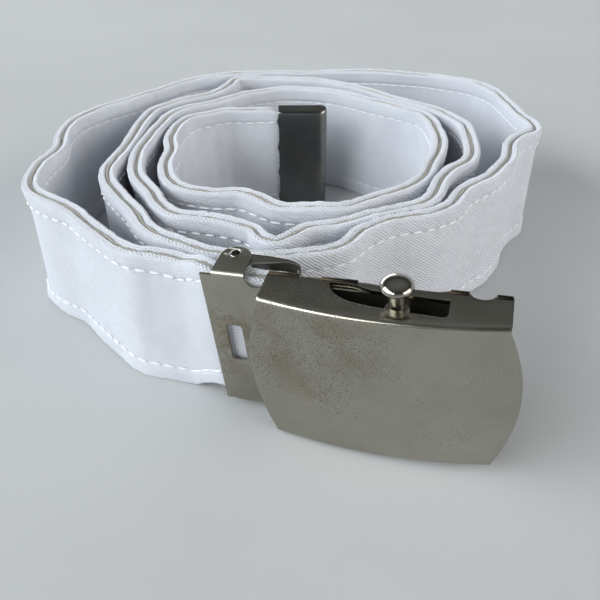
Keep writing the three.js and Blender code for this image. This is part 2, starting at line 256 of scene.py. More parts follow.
# %% Cloth materials
def cloth(name, color, shade, rib_pitch, slant, depth, sheen=0.25):
    """Twill in UV millimetres: rib pitch in mm and slant in degrees from the web's length."""
    material, tree, shader = new_material(name)
    uv = node(tree, "ShaderNodeUVMap", uv_map="web")
    turn = node(tree, "ShaderNodeMapping", {"Rotation": (0, 0, math.radians(slant))})
    tree.links.new(uv.outputs["UV"], turn.inputs["Vector"])
    # one wave per rib: the wave texture's period is 2 pi / (20 * scale)
    rib_scale = 2 * math.pi / (20 * rib_pitch)
    rib = node(
        tree, "ShaderNodeTexWave",
        {"Scale": rib_scale, "Distortion": 1.2, "Detail": 2.0, "Detail Scale": 3.0},
        wave_type="BANDS", bands_direction="X",
    )
    tree.links.new(turn.outputs["Vector"], rib.inputs["Vector"])
    thread = node(
        tree, "ShaderNodeTexWave",
        {"Scale": 2 * math.pi / (20 * rib_pitch * 0.6), "Distortion": 0.8, "Detail": 1.0},
        wave_type="BANDS", bands_direction="Y",
    )
    tree.links.new(uv.outputs["UV"], thread.inputs["Vector"])
    slow = node(tree, "ShaderNodeTexNoise", {"Scale": 0.12, "Detail": 4.0, "Roughness": 0.6})
    tree.links.new(uv.outputs["UV"], slow.inputs["Vector"])
    fuzz = node(tree, "ShaderNodeTexNoise", {"Scale": 3.5, "Detail": 3.0, "Roughness": 0.7})
    tree.links.new(uv.outputs["UV"], fuzz.inputs["Vector"])
    unevenness = ramp(tree, slow.outputs["Fac"], [(0.35, shade), (0.65, color)])
    crossing = math_node(tree, "MULTIPLY", rib.outputs["Fac"], thread.outputs["Fac"])
    ribbed = mixed(tree, 0.13, unevenness, rib.outputs["Color"], "MULTIPLY")
    # creases run across the web, so their noise is stretched that way
    stretch = node(tree, "ShaderNodeMapping", {"Scale": (0.11, 0.02, 1.0)})
    tree.links.new(uv.outputs["UV"], stretch.inputs["Vector"])
    crease = node(tree, "ShaderNodeTexNoise", {"Scale": 1.0, "Detail": 2.0, "Roughness": 0.5})
    tree.links.new(stretch.outputs["Vector"], crease.inputs["Vector"])
    specks = ramp(tree, fuzz.outputs["Fac"], [(0.3, 0.9), (0.6, 1.0)])
    tree.links.new(mixed(tree, 0.6, ribbed, specks, "MULTIPLY"), shader.inputs["Base Color"])
    shader.inputs["Roughness"].default_value = 0.92
    shader.inputs["Sheen Weight"].default_value = sheen
    shader.inputs["Sheen Roughness"].default_value = 0.5
    shader.inputs["Specular IOR Level"].default_value = 0.2
    bump(tree, shader, [
        (crease.outputs["Fac"], 2.2 * MM, 0.5),
        (slow.outputs["Fac"], 0.4 * MM, 0.35),
        (rib.outputs["Fac"], depth * MM, 0.8),
        (crossing, depth * MM, 0.8),
        (thread.outputs["Fac"], depth * 0.5 * MM, 0.5),
        (fuzz.outputs["Fac"], depth * 0.8 * MM, 0.5),
    ])
    return material


TWILL = cloth("white_twill", (0.905, 0.93, 0.99), (0.85, 0.873, 0.93), 0.58, 52.0, 0.11)
CREAM = cloth("cream_interlining", (0.95, 0.91, 0.80), (0.88, 0.83, 0.70), 0.9, 20.0, 0.12, 0.2)
print("cloth materials", TWILL.name, CREAM.name)

# %% [markdown]
# ## Sewing thread
# The thread is a little shinier and whiter than the cloth, with the fine twist of its plies.


# %% Thread material
def thread_material():
    material, tree, shader = new_material("sewing_thread")
    place = node(tree, "ShaderNodeTexCoord")
    twist = node(
        tree, "ShaderNodeTexWave",
        {"Scale": 1600.0, "Distortion": 1.0, "Detail": 1.0},
        wave_type="BANDS", bands_direction="DIAGONAL",
    )
    tree.links.new(place.outputs["Object"], twist.inputs["Vector"])
    tone = ramp(tree, twist.outputs["Fac"], [(0.2, (0.88, 0.89, 0.92)), (0.8, (0.97, 0.97, 0.98))])
    tree.links.new(tone, shader.inputs["Base Color"])
    shader.inputs["Roughness"].default_value = 0.42
    shader.inputs["Sheen Weight"].default_value = 0.2
    bump(tree, shader, [(twist.outputs["Fac"], 0.05 * MM, 0.5)])
    return material


THREAD = thread_material()

# %% [markdown]
# ## Worn nickel plate
# The plate is thin nickel over steel. Years of handling leave it grey-green and slightly cloudy, with
# dark pinholes where rust comes through, brown stains in patches and fine hairlines. Stains sit
# where the hand and the cloth rub, so a centre in the buckle's own frame pulls them together.


# %% Metal materials
def nickel(name, color, dark, roughness, pits, stain, seed, stain_at=None):
    """Aged plate: pits and stain are 0 to 1; stain_at, a place and radius in metres, draws them in."""
    material, tree, shader = new_material(name)
    coordinates = node(tree, "ShaderNodeTexCoord")
    shift = node(tree, "ShaderNodeMapping", {"Location": (seed, seed * 0.7, -seed)})
    tree.links.new(coordinates.outputs["Object"], shift.inputs["Vector"])
    place = shift.outputs["Vector"]
    cloud = node(tree, "ShaderNodeTexNoise", {"Scale": 70.0, "Detail": 5.0, "Roughness": 0.6})
    streak = node(tree, "ShaderNodeTexNoise", {"Scale": 420.0, "Detail": 3.0, "Roughness": 0.7})
    pinhole = node(tree, "ShaderNodeTexVoronoi", {"Scale": 2300.0, "Randomness": 1.0})
    crowd = node(tree, "ShaderNodeTexNoise", {"Scale": 130.0, "Detail": 3.0})
    patch = node(tree, "ShaderNodeTexNoise", {"Scale": 95.0, "Detail": 6.0, "Roughness": 0.65})
    for texture in (cloud, streak, pinhole, crowd, patch):
        tree.links.new(place, texture.inputs["Vector"])
    tone = ramp(tree, cloud.outputs["Fac"], [(0.3, dark), (0.7, color)])
    streaks = ramp(tree, streak.outputs["Fac"], [(0.35, 0.86), (0.65, 1.0)])
    tone = mixed(tree, 0.35, tone, streaks, "MULTIPLY")
    near = 1.0
    crowd_level = crowd.outputs["Fac"]
    if stain_at is not None:
        centre, radius = stain_at
        away = node(tree, "ShaderNodeVectorMath", operation="DISTANCE")
        tree.links.new(coordinates.outputs["Object"], away.inputs[0])
        away.inputs[1].default_value = tuple(centre)
        away = math_node(tree, "DIVIDE", away.outputs["Value"], radius)
        near = math_node(tree, "MAXIMUM", math_node(tree, "SUBTRACT", 1.0, away), 0.0)
        crowd_level = math_node(tree, "ADD", crowd_level, math_node(tree, "MULTIPLY", near, 0.42))
    # brown stain, in patches
    stained = ramp(tree, patch.outputs["Fac"], [(0.44, 0.0), (0.62, 1.0)])
    stained = math_node(tree, "MULTIPLY", stained, stain)
    stained = math_node(tree, "MULTIPLY", stained, near)
    tone = mixed(tree, stained, tone, (0.20, 0.145, 0.085))
    # pinholes crowd together in places
    hole = ramp(tree, pinhole.outputs["Distance"], [(0.12, 1.0), (0.34, 0.0)])
    crowded = ramp(tree, crowd_level, [(0.52, 0.0), (0.80, 1.0)])
    hole = math_node(tree, "MULTIPLY", math_node(tree, "MULTIPLY", hole, crowded), pits)
    tone = mixed(tree, hole, tone, (0.05, 0.045, 0.035))
    tree.links.new(tone, shader.inputs["Base Color"])
    rough = math_node(tree, "MULTIPLY_ADD", cloud.outputs["Fac"], 0.18)
    rough.node.inputs[2].default_value = roughness - 0.09
    rough = math_node(tree, "ADD", rough, math_node(tree, "MULTIPLY", hole, 0.4))
    rough = math_node(tree, "ADD", rough, math_node(tree, "MULTIPLY", stained, 0.25))
    tree.links.new(rough, shader.inputs["Roughness"])
    shader.inputs["Metallic"].default_value = 1.0
    scratch_turn = node(tree, "ShaderNodeMapping", {"Scale": (60.0, 900.0, 2600.0)})
    tree.links.new(place, scratch_turn.inputs["Vector"])
    scratch = node(tree, "ShaderNodeTexNoise", {"Scale": 1.0, "Detail": 2.0})
    tree.links.new(scratch_turn.outputs["Vector"], scratch.inputs["Vector"])
    inverted = math_node(tree, "SUBTRACT", 1.0, hole)
    bump(tree, shader, [
        (cloud.outputs["Fac"], 0.06 * MM, 0.12),
        (scratch.outputs["Fac"], 0.02 * MM, 0.12),
        (inverted, 0.03 * MM, 0.35),
    ])
    return material


FACE_STAIN = (BUCKLE @ Vector((-13, 8, 7)), 19 * MM)
PLATE_STAIN = (BUCKLE @ Vector((-31, -1, 0)), 13 * MM)
GREY, CLOUD = (0.42, 0.405, 0.35), (0.355, 0.34, 0.285)
NICKEL_FACE = nickel("nickel_face", GREY, CLOUD, 0.22, 0.9, 0.6, 0.0, FACE_STAIN)
NICKEL_PLATE = nickel("nickel_plate", GREY, (0.34, 0.33, 0.27), 0.28, 0.8, 1.0, 0.013, PLATE_STAIN)
NICKEL_SMALL = nickel(
    "nickel_small_parts", (0.45, 0.44, 0.40), (0.33, 0.32, 0.28), 0.22, 0.5, 0.4, 0.029
)
# the folded lips are painted nearly black: painted shade for the dark gap along the walls' rear edges,
# over the usual pits and stains
NICKEL_LIP = nickel(
    "nickel_folds_painted_shade", (0.03, 0.027, 0.025), (0.018, 0.016, 0.015), 0.35, 0.5, 0.4, 0.037
)
NICKEL_KNOB = nickel("nickel_knob", (0.41, 0.395, 0.355), (0.35, 0.335, 0.295), 0.10, 0.3, 0.15, 0.041)
NICKEL_TIP = nickel("nickel_tip", (0.25, 0.265, 0.25), (0.16, 0.17, 0.17), 0.2, 0.4, 0.3, 0.057)
print("metal materials ready")

# %% [markdown]
# ## The strap's route
# The strap was laid by hand, so its route is a list of given points: anticlockwise from the
# tip in the middle, outwards through three turns to the buckle. The same curve drives the CAD solids.
# A centripetal Catmull-Rom curve passes through every point without loops.

# %% Route points, in millimetres in the coil's plan
COIL = [
    # innermost turn: back, left, front, right
    (7, 40), (-4, 40), (-14, 40), (-22, 40), (-28, 37), (-32, 33), (-34, 26), (-35, 18),
    (-34, 8), (-34, -1), (-32, -8), (-28, -13), (-20, -16), (-14, -17), (-10, -20),
    (-5, -24), (2, -25), (9, -25), (15, -22), (20, -18), (26, -14), (30, -9), (34, 0),
    (37, 10), (38, 20), (38, 29), (36, 36),
    # second turn, with a sharp kink at the front
    (31, 41), (25, 45), (18, 51), (11, 56), (2, 59), (-7, 59), (-15, 56), (-21, 50),
    (-28, 45), (-34, 41), (-38, 34), (-40, 25), (-41, 16), (-42, 6), (-40, -5), (-36, -13),
    (-32, -21), (-28, -27), (-22, -29), (-15, -31), (-10, -34), (-8, -38), (-5, -40),
    (-2, -38), (2, -34), (9, -32), (16, -28), (23, -25), (29, -22), (32, -17), (35, -10),
    (38, -5), (43, 1), (46, 9),
    # third turn, with a corner at the back left and a bump at the right
    (47, 20), (45, 31), (40, 40), (33, 46), (25, 55), (16, 63), (6, 68), (-4, 70),
    (-12, 71), (-18, 71), (-21, 69), (-22, 64), (-25, 58), (-30, 53), (-37, 48), (-43, 42),
    (-45, 33), (-45, 24), (-46, 13), (-47, 3), (-47, -8), (-43, -16), (-38, -24),
    (-33, -33), (-26, -39), (-18, -44), (-8, -46), (2, -45), (9, -42), (14, -36),
    (20, -31), (28, -28), (35, -23), (40, -15), (47, -8), (53, 1), (57, 11), (61, 17),
    (65, 21), (66, 26),
    # outer turn, round to the buckle
    (65, 33), (64, 43), (63, 53), (59, 62), (52, 68), (41, 74), (28, 77), (12, 79),
    (-2, 78), (-16, 77), (-30, 72), (-39, 66), (-46, 57), (-53, 48), (-60, 41), (-65, 33),
    (-66, 22), (-64, 10), (-65, -2), (-64, -12), (-59, -19), (-52, -24), (-47, -30),
    (-41, -37), (-35, -43), (-29, -45), (-23, -47.5),
]
PLAN_CENTRE = (-0.08, 0.73)
STRAP_IN_BUCKLE = [(-36, -4.2), (-31, -2.9), (-25, -2.75), (-17.8, -2.75)]  # U and W
STRAP_WIDTH = 32.0
STRAP_HALF = 1.8
TWIST_LENGTH = 34.0  # the strap's last stretch, where it leans over to meet the buckle
TWIST_SHARE = 0.7  # of that stretch, the part in which it turns
STATION_STEP = 1.0


# %% Route curve
def catmull_rom(points, per_span=60):
    """Centripetal Catmull-Rom through the points, densely sampled."""
    points = np.array(points, float)
    before = 2 * points[0] - points[1]
    after = 2 * points[-1] - points[-2]
    padded = np.vstack([before, points, after])
    samples = []
    t = np.linspace(0, 1, per_span, endpoint=False)[:, None]
    for p0, p1, p2, p3 in zip(padded, padded[1:], padded[2:], padded[3:]):
        spans = (p1 - p0, p2 - p1, p3 - p2)
        d0, d1, d2 = (max(np.linalg.norm(span) ** 0.5, 1e-6) for span in spans)
        m1 = ((p1 - p0) / d0 - (p2 - p0) / (d0 + d1) + (p2 - p1) / d1) * d1
        m2 = ((p2 - p1) / d1 - (p3 - p1) / (d1 + d2) + (p3 - p2) / d2) * d1
        c2 = -3 * p1 + 3 * p2 - 2 * m1 - m2
        c3 = 2 * p1 - 2 * p2 + m1 + m2
        samples.append(p1 + m1 * t + c2 * t**2 + c3 * t**3)
    return np.vstack([*samples, points[-1:]])


def resampled(line, step):
    """The same line with evenly spaced points, and its length."""
    along = np.concatenate([[0], np.cumsum(np.linalg.norm(np.diff(line, axis=0), axis=1))])
    count = max(2, int(round(along[-1] / step)))
    even = np.linspace(0, along[-1], count + 1)
    return np.stack([np.interp(even, along, line[:, k]) for k in range(3)], 1), even


def strap_route(step):
    """Points, outward normals, up directions and distances along the strap, in mm in the row frame."""
    route = [(x - PLAN_CENTRE[0], y - PLAN_CENTRE[1], STRAP_WIDTH / 2) for x, y in COIL]
    for u, w in STRAP_IN_BUCKLE:
        route.append(tuple(BUCKLE @ Vector((u, 0, w)) / MM))
    points, distance = resampled(catmull_rom(route), step)
    along = np.gradient(points, axis=0)
    along /= np.linalg.norm(along, axis=1)[:, None]
    left = distance[-1] - distance
    x = np.clip((TWIST_LENGTH - left) / (TWIST_LENGTH * TWIST_SHARE), 0, 1)
    twist = (x * x * (3 - 2 * x))[:, None]
    up = (1 - twist) * np.array([0, 0, 1.0]) + twist * np.array(V)
    up /= np.linalg.norm(up, axis=1)[:, None]
    out = np.cross(along, up)
    out /= np.linalg.norm(out, axis=1)[:, None]
    floor = STRAP_WIDTH / 2 * up[:, 2] + STRAP_HALF * np.abs(out[:, 2])
    points[:, 2] = np.maximum(points[:, 2], floor)
    return points, out, up, distance


POINTS, OUT, UP, DISTANCE = strap_route(STATION_STEP)

# %% [markdown]
# ## Folded, stitched plies
# Each ply is turned in at both edges, so its edge is a soft roll, and the lockstitch a few
# millimetres in pulls the layers together into a shallow groove. Between stitches the cloth puckers.
# Straps can't be cloth-simulated well at this width, so the ply is a section swept along the route,
# with the roll, the groove, the pucker and a slow waviness of the edges worked into it.


# %% Slow waves that fade where turns touch
def smooth_noise(distance, period, seed):
    """A smooth random wave along the strap, from -1 to 1."""
    draws = np.random.default_rng(seed)
    knots = np.arange(-1, distance[-1] / period + 3)
    values = draws.uniform(-1, 1, len(knots))
    place = distance / period + 1
    base = np.floor(place).astype(int)
    part = place - base
    part = part * part * (3 - 2 * part)
    return values[base] * (1 - part) + values[base + 1] * part


def room_beside(points, distance, reach=14.0):
    """How far each station is from any other turn of the strap, in mm."""
    plan = points[::3, :2]
    far = distance[::3]
    room = np.empty(len(plan))
    for i, p in enumerate(plan):
        gap = np.linalg.norm(plan - p, axis=1)
        gap[np.abs(far - far[i]) < reach] = 99.0
        room[i] = gap.min()
    return np.interp(distance, far, room)


ROOM = room_beside(POINTS, DISTANCE)
SWING = np.clip((ROOM - 4.1) / 2, 0.0, 0.9)  # how far the edges may wander sideways, in mm
SPARE = np.clip((ROOM - 4.3) / 2, 0.0, 0.28)  # how much the hems may fluff out, in mm
TOP_WAVE = smooth_noise(DISTANCE, 13.0, 11) * 0.6 + smooth_noise(DISTANCE, 6.0, 12) * 0.3
LOW_WAVE = smooth_noise(DISTANCE, 15.0, 13) * 0.6 + smooth_noise(DISTANCE, 7.0, 14) * 0.3
TOP_LIFT = smooth_noise(DISTANCE, 9.0, 15) * 0.28 + smooth_noise(DISTANCE, 23.0, 16) * 0.35
CALM = np.clip((DISTANCE - 15.0) / 10.0, 0, 1)  # 0 in the tip, which holds the strap's end flat
CLAMP_AT = np.array(BUCKLE @ Vector((PIN_U + 6, 0, PIN_W)))[:2] / MM
CLEAR = np.clip((np.linalg.norm(POINTS[:, :2] - CLAMP_AT, axis=1) - 13.0) / 8.0, 0, 1)
SWING, SPARE = SWING * CLEAR, SPARE * CLEAR  # 0 by the clamp, which needs its room
TUCK = 1 - 0.05 * (1 - np.clip((DISTANCE - 13.5) / 3.0, 0, 1))  # the strap is 5% lower in the tip
SWING, SPARE, TOP_LIFT = SWING * CALM, SPARE * CALM, TOP_LIFT * CALM
print("room beside the strap, least", round(float(ROOM.min()), 2), "mm")

# %% The ply's section and its sweep
STITCH_INSET = 4.0  # from the edge to the stitch row
STITCH_PITCH = 3.3
STITCH_PULL = 0.28  # depth of the stitched groove
INSIDE = 0.42  # from the strap's middle to a ply's hidden side
SKIN = STRAP_HALF - 0.36  # from the strap's middle to a ply's face between the hems
HEM_ROLL = 0.8  # height of the rolled edge
HEM_GAP = 0.34  # from the strap's middle to the roll
HEM_OUTSIDE = 1.86  # from the strap's middle to the outside of the roll


def edge_share(z):
    """How much of the edges' waves reaches a height: 0 in the middle of the strap, 1 at its edges."""
    return max(0.0, (abs(z) - 9.0) / 7.0) ** 1.2


def ply_section():
    """A ply's closed section from its hidden middle: (offset outwards, height, stitch pull 0 to 1)."""
    half = STRAP_WIDTH / 2
    top = half - HEM_ROLL
    inner = [(INSIDE, 0.0, 0.0), (INSIDE, 9.0, 0.0), (INSIDE, 12.4, 0.0), (HEM_GAP, top, 0.0)]
    middle, reach = (HEM_OUTSIDE + HEM_GAP) / 2, (HEM_OUTSIDE - HEM_GAP) / 2
    roll = []
    for k in range(1, 10):
        a = math.pi * (1 - k / 10)
        roll.append((middle + reach * math.cos(a), top + HEM_ROLL * math.sin(a), 0.0))
    outer = []
    for z in (top, 14.4, 13.6, 12.9, 12.5, 12.2, 12.0, 11.8, 11.5, 11.1, 10.2, 8.0, 4.0, 0.0):
        pull = math.exp(-(((z - (half - STITCH_INSET)) / 0.42) ** 2))
        hem = 1 / (1 + math.exp(-(z - 12.2) * 2.2))
        outer.append((SKIN + (HEM_OUTSIDE - SKIN) * hem - STITCH_PULL * pull, z, pull))
    upper = inner + roll + outer
    lower = [(n, -z, pull) for n, z, pull in reversed(upper[1:-1])]
    return upper + lower


def raised(offset, height):
    """The route moved outwards and upwards, each by a number or by one for each station."""
    return POINTS + OUT * np.reshape(offset, (-1, 1)) + UP * np.reshape(height, (-1, 1))


def swept(name, rows, uvs, material, angle):
    """A closed section swept along the route: a row of points and a row of UVs for each corner."""
    count, stations = len(rows), len(POINTS)
    points = np.stack(rows, 1).reshape(-1, 3) * MM
    points[:, 2] = np.maximum(points[:, 2], 0.0)
    uv = np.stack(uvs, 1).reshape(-1, 2)
    faces = []
    for i in range(stations - 1):
        for k in range(count):
            a, b = i * count + k, i * count + (k + 1) % count
            faces.append((a, b, b + count, a + count))
    faces.append(tuple(range(count)))
    faces.append(tuple(reversed(range((stations - 1) * count, stations * count))))
    obj = mesh_object(name, points, faces)
    layer = obj.data.uv_layers.new(name="web")
    loops = np.empty(len(obj.data.loops), int)
    obj.data.loops.foreach_get("vertex_index", loops)
    layer.data.foreach_set("uv", uv[loops].astype(np.float32).ravel())
    outward(obj)
    smooth(obj, angle)
    return paint(obj, material)


def along_web(across):
    """UVs of one row: millimetres along the strap, and one distance across it."""
    return np.stack([DISTANCE, np.full(len(DISTANCE), across)], 1)


# %% The two plies
def swept_ply(name, side, seed):
    """A ply on the outer (side 1) or inner (side -1) face of the strap."""
    section = ply_section()
    puckers = 0.5 + 0.5 * np.cos(2 * math.pi * DISTANCE / STITCH_PITCH)
    ripple = smooth_noise(DISTANCE, 2.1, seed)
    belly = smooth_noise(DISTANCE, 19.0, seed + 1)
    nubs = 0.11 * smooth_noise(DISTANCE, 1.3, seed + 2)
    rows, uvs = [], []
    girth = 0.0
    for k, (n, z, pull) in enumerate(section):
        edge = edge_share(z)
        offset = side * n * np.ones(len(POINTS))
        if n > 1.0:  # the outside of the ply; its hidden side stays plain
            share = z / (STRAP_WIDTH / 2)
            offset += side * 0.14 * edge * puckers * (1 - pull)
            offset += side * 0.10 * ripple * edge
            offset += side * SPARE * edge
            offset += side * 0.20 * belly * (1 - share**2)
        offset += SWING * (TOP_WAVE if z > 0 else LOW_WAVE) * edge
        height = z * TUCK + (TOP_LIFT * edge + nubs * (abs(z) > 15) if z > 0 else 0.0)
        if k:
            girth += math.hypot(n - section[k - 1][0], z - section[k - 1][1])
        rows.append(raised(offset, height))
        uvs.append(along_web(girth + 100 * (side < 0)))
    return swept(name, rows, uvs, TWILL, 60)


outer_ply = swept_ply("outer_ply_cloth", 1, 21)
inner_ply = swept_ply("inner_ply_cloth", -1, 31)
print("plies", len(outer_ply.data.polygons), "faces each")

# %% [markdown]
# ## The interlining
# A cream, coarser strip shows in the groove between the two rolled edges. Its cut edge is slightly
# ragged and stands just below them. It is swept along the route as the plies are.


# %% Interlining
def interlining_strip():
    ragged = smooth_noise(DISTANCE, 1.6, 41) * 0.22 + smooth_noise(DISTANCE, 5.0, 42) * 0.2
    half = STRAP_WIDTH / 2
    foot, crown = -half + 1.3, half - 0.3
    corners = [
        (-0.3, foot), (0.3, foot), (0.33, crown - 0.5), (0.27, crown - 0.1), (0.08, crown),
        (-0.1, crown - 0.03), (-0.26, crown - 0.12), (-0.33, crown - 0.5),
    ]
    rows, uvs = [], []
    for k, (n, z) in enumerate(corners):
        offset = n + SWING * (TOP_WAVE if z > 0 else LOW_WAVE)
        height = z * TUCK + (ragged + TOP_LIFT * 0.9 if z > 0 else 0.0)
        rows.append(raised(offset, height))
        uvs.append(along_web(k * 2.0))
    return swept("interlining_cloth", rows, uvs, CREAM, 50)


interlining = interlining_strip()
print("interlining", len(interlining.data.polygons), "faces")

# %% [markdown]
# ## Lockstitch by Geometry Nodes
# A row of stitches repeats one short, slack loop of thread a few hundred times, which is what
# Geometry Nodes are for. The row's line is a curve, resampled at the stitch pitch; a small capsule
# sits at each point, turned along the line, with its length slightly varied by a fixed seed.


# %% Geometry Nodes helpers
def group_tree(name, entries):
    """A Geometry Nodes tree with named inputs, from (kind, name, default) rows, and its two ends."""
    tree = bpy.data.node_groups.new(name, "GeometryNodeTree")
    for kind, label, value in [("Geometry", "Geometry", None), *entries, ("Material", "Material", None)]:
        socket = tree.interface.new_socket(label, in_out="INPUT", socket_type="NodeSocket" + kind)
        if value is not None:
            socket.default_value = value
    tree.interface.new_socket("Geometry", in_out="OUTPUT", socket_type="NodeSocketGeometry")
    return tree, tree.nodes.new("NodeGroupInput"), tree.nodes.new("NodeGroupOutput")


def wire(tree, rows):
    """Links sockets, from rows of (node, output, node, input)."""
    for source, output, target, entry in rows:
        tree.links.new(source.outputs[output], target.inputs[entry])


def grown(obj, tree, values):
    """Runs a tree on an object, with its inputs set by identifier, and keeps the plain mesh."""
    names = {item.name: item.identifier for item in tree.interface.items_tree if item.in_out == "INPUT"}
    modifier = obj.modifiers.new(tree.name, "NODES")
    modifier.node_group = tree
    for name, value in values.items():
        modifier[names[name]] = value
    return baked(obj)


# %% Stitch row tree
STITCH_LENGTH = 2.5
THREAD_RADIUS = 0.23
THREAD_SPREAD = 1.5  # a stitch lies flattened, this much wider than it is thick


def stitch_tree():
    tree, start, end = group_tree("lockstitch", [
        ("Float", "Pitch", STITCH_PITCH * MM), ("Float", "Stitch length", STITCH_LENGTH * MM),
        ("Float", "Thread radius", THREAD_RADIUS * MM), ("Int", "Seed", 5),
    ])
    to_curve = node(tree, "GeometryNodeMeshToCurve")
    spaced = node(tree, "GeometryNodeResampleCurve", mode="LENGTH")
    to_points = node(tree, "GeometryNodeCurveToPoints", mode="EVALUATED")
    capsule = node(tree, "GeometryNodeMeshUVSphere", {"Segments": 8, "Rings": 6, "Radius": 1.0})
    place = node(tree, "GeometryNodeInstanceOnPoints")
    sizes = node(tree, "ShaderNodeCombineXYZ")
    half_length = node(tree, "ShaderNodeMath", {1: 0.5}, operation="MULTIPLY")
    vary = node(tree, "FunctionNodeRandomValue", {2: 0.86, 3: 1.1}, data_type="FLOAT")
    varied = node(tree, "ShaderNodeMath", operation="MULTIPLY")
    wide = node(tree, "ShaderNodeMath", {1: THREAD_SPREAD}, operation="MULTIPLY")
    realize = node(tree, "GeometryNodeRealizeInstances")
    shade = node(tree, "GeometryNodeSetShadeSmooth")
    finish = node(tree, "GeometryNodeSetMaterial")
    wire(tree, [
        (start, "Geometry", to_curve, "Mesh"),
        (to_curve, "Curve", spaced, "Curve"),
        (start, "Pitch", spaced, "Length"),
        (spaced, "Curve", to_points, "Curve"),
        (to_points, "Points", place, "Points"),
        (to_points, "Rotation", place, "Rotation"),
        (capsule, "Mesh", place, "Instance"),
        (start, "Stitch length", half_length, 0),
        (start, "Seed", vary, "Seed"),
        (half_length, 0, varied, 0),
        (vary, 1, varied, 1),
        (start, "Thread radius", wide, 0),
        (wide, 0, sizes, "X"),
        (start, "Thread radius", sizes, "Y"),
        (varied, 0, sizes, "Z"),
        (sizes, "Vector", place, "Scale"),
        (place, "Instances", realize, "Geometry"),
        (realize, "Geometry", shade, "Geometry"),
        (shade, "Geometry", finish, "Geometry"),
        (start, "Material", finish, "Material"),
        (finish, "Geometry", end, "Geometry"),
    ])
    return tree


LOCKSTITCH = stitch_tree()
print("lockstitch tree", len(LOCKSTITCH.nodes), "nodes")


# %% The four rows, two on each face
THREAD_RISE = 0.45  # from the groove's bottom to the middle of the thread
CLAMP_RELIEF = 0.2  # the stitches lie this much deeper beside the clamp


def stitch_line(side, level):
    """Where a row lies: on the face in the groove, following the cloth's waves."""
    z = level * (STRAP_WIDTH / 2 - STITCH_INSET)
    edge = edge_share(z)
    offset = side * (SKIN - STITCH_PULL + THREAD_RISE - CLAMP_RELIEF * (1 - CLEAR) + SPARE * edge)
    offset = offset + SWING * (TOP_WAVE if level > 0 else LOW_WAVE) * edge
    wander = smooth_noise(DISTANCE, 31.0, 50 + int(2 * side + level)) * 0.35
    height = z + (TOP_LIFT * edge if level > 0 else 0.0) + wander
    return raised(offset, height)[2:-18] * MM


def stitch_rows():
    rows = []
    for side in (1, -1):
        for level in (1, -1):
            line = stitch_line(side, level)
            mesh = bpy.data.meshes.new("row")
            mesh.from_pydata([tuple(p) for p in line], [(i, i + 1) for i in range(len(line) - 1)], [])
            rows.append(grown(added("row", mesh), LOCKSTITCH, {
                "Pitch": STITCH_PITCH * MM, "Seed": 7 + int(side + 2 * level), "Material": THREAD,
            }))
    return paint(joined("stitching", rows), THREAD)


stitching = stitch_rows()
smooth(stitching, 80)
print("stitching", len(stitching.data.polygons), "faces")

# %% The strap's pieces take their places
for piece, cad in ((outer_ply, "outer_ply"), (inner_ply, "inner_ply"), (interlining, "interlining")):
    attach(piece, "strap")
    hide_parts(cad)
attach(stitching, "strap")

# %% [markdown]
# ## The buckle shell
# The shell is one stamped sheet: a face bowed along its length with barrel-shaped ends, and a top and
# a bottom wall bent back from it with a small radius. The sheet's section runs from one wall's rear
# edge round the face to the other's, so a grid of that section along the length gives the whole
# shell, and a thickness finishes it. The slots are then cut through both walls.

# %% Shell sizes, in millimetres in the buckle's frame
FACE_HALF_LENGTH = 21.1
FACE_END_BULGE = 3.4
FACE_HALF_HEIGHT = 18.15
FACE_END_W = 5.9
FACE_BOW = 2.0
SHEET = 0.8
BEND = 1.1  # outer radius between face and wall
WALL_REAR_W = -1.85
EDGE_W = -1.3  # the wall's own rear edge, between the folded lips
LIP_PROUD = 0.28  # how far a lip's fold stands above the wall
LIP_WIDTH = 1.15
LIP_DEPTH = 1.1  # how far a lip reaches in past the wall's sheet
WALL_INSET = 0.05  # the wall stops this short of the face's ends
WALL_STEPS, BEND_STEPS, FACE_STEPS, LENGTH_STEPS = 9, 6, 26, 72


def face_w(u):
    """How far out the bowed face stands at a place along the buckle."""
    return FACE_END_W + FACE_BOW * (1 - (u / FACE_HALF_LENGTH) ** 2)


# %% Shell grid
def wall_rear(u):
    """The wall's rear edge: a step along the rail, and a round relief near the open end."""
    if -3 <= u <= 10:
        return EDGE_W + 0.3 * min(1.0, (u + 3) / 2) * min(1.0, (10 - u) / 1.2)
    if 14.1 < u < 18.1:
        x = (u - 16.1) / 2.0
        return EDGE_W - 0.2 + 1.2 * math.sqrt(max(0.0, 1 - x * x))
    return EDGE_W - 0.2 * (u > 10)


def shell_section(s):
    """The sheet's outer surface at place s (-1 to 1) along the length, from low wall to top wall."""
    points = []
    u_wall = s * (FACE_HALF_LENGTH - WALL_INSET)
    front = face_w(u_wall)
    half = FACE_HALF_HEIGHT
    rear = wall_rear(u_wall)
    for k in range(WALL_STEPS):
        w = rear + (front - BEND - rear) * k / WALL_STEPS
        points.append((u_wall, -half, w))
    for k in range(BEND_STEPS):
        a = math.pi / 2 * k / BEND_STEPS
        points.append((u_wall, -half + BEND * (1 - math.cos(a)), front - BEND + BEND * math.sin(a)))
    for k in range(FACE_STEPS + 1):
        v = -(half - BEND) + 2 * (half - BEND) * k / FACE_STEPS
        reach = FACE_HALF_LENGTH - WALL_INSET + FACE_END_BULGE * (1 - (v / (half - BEND)) ** 2)
        u = s * reach
        points.append((u, v, face_w(u)))
    mirrored = [(u, -v, w) for u, v, w in reversed(points[: WALL_STEPS + BEND_STEPS])]
    return points + mirrored


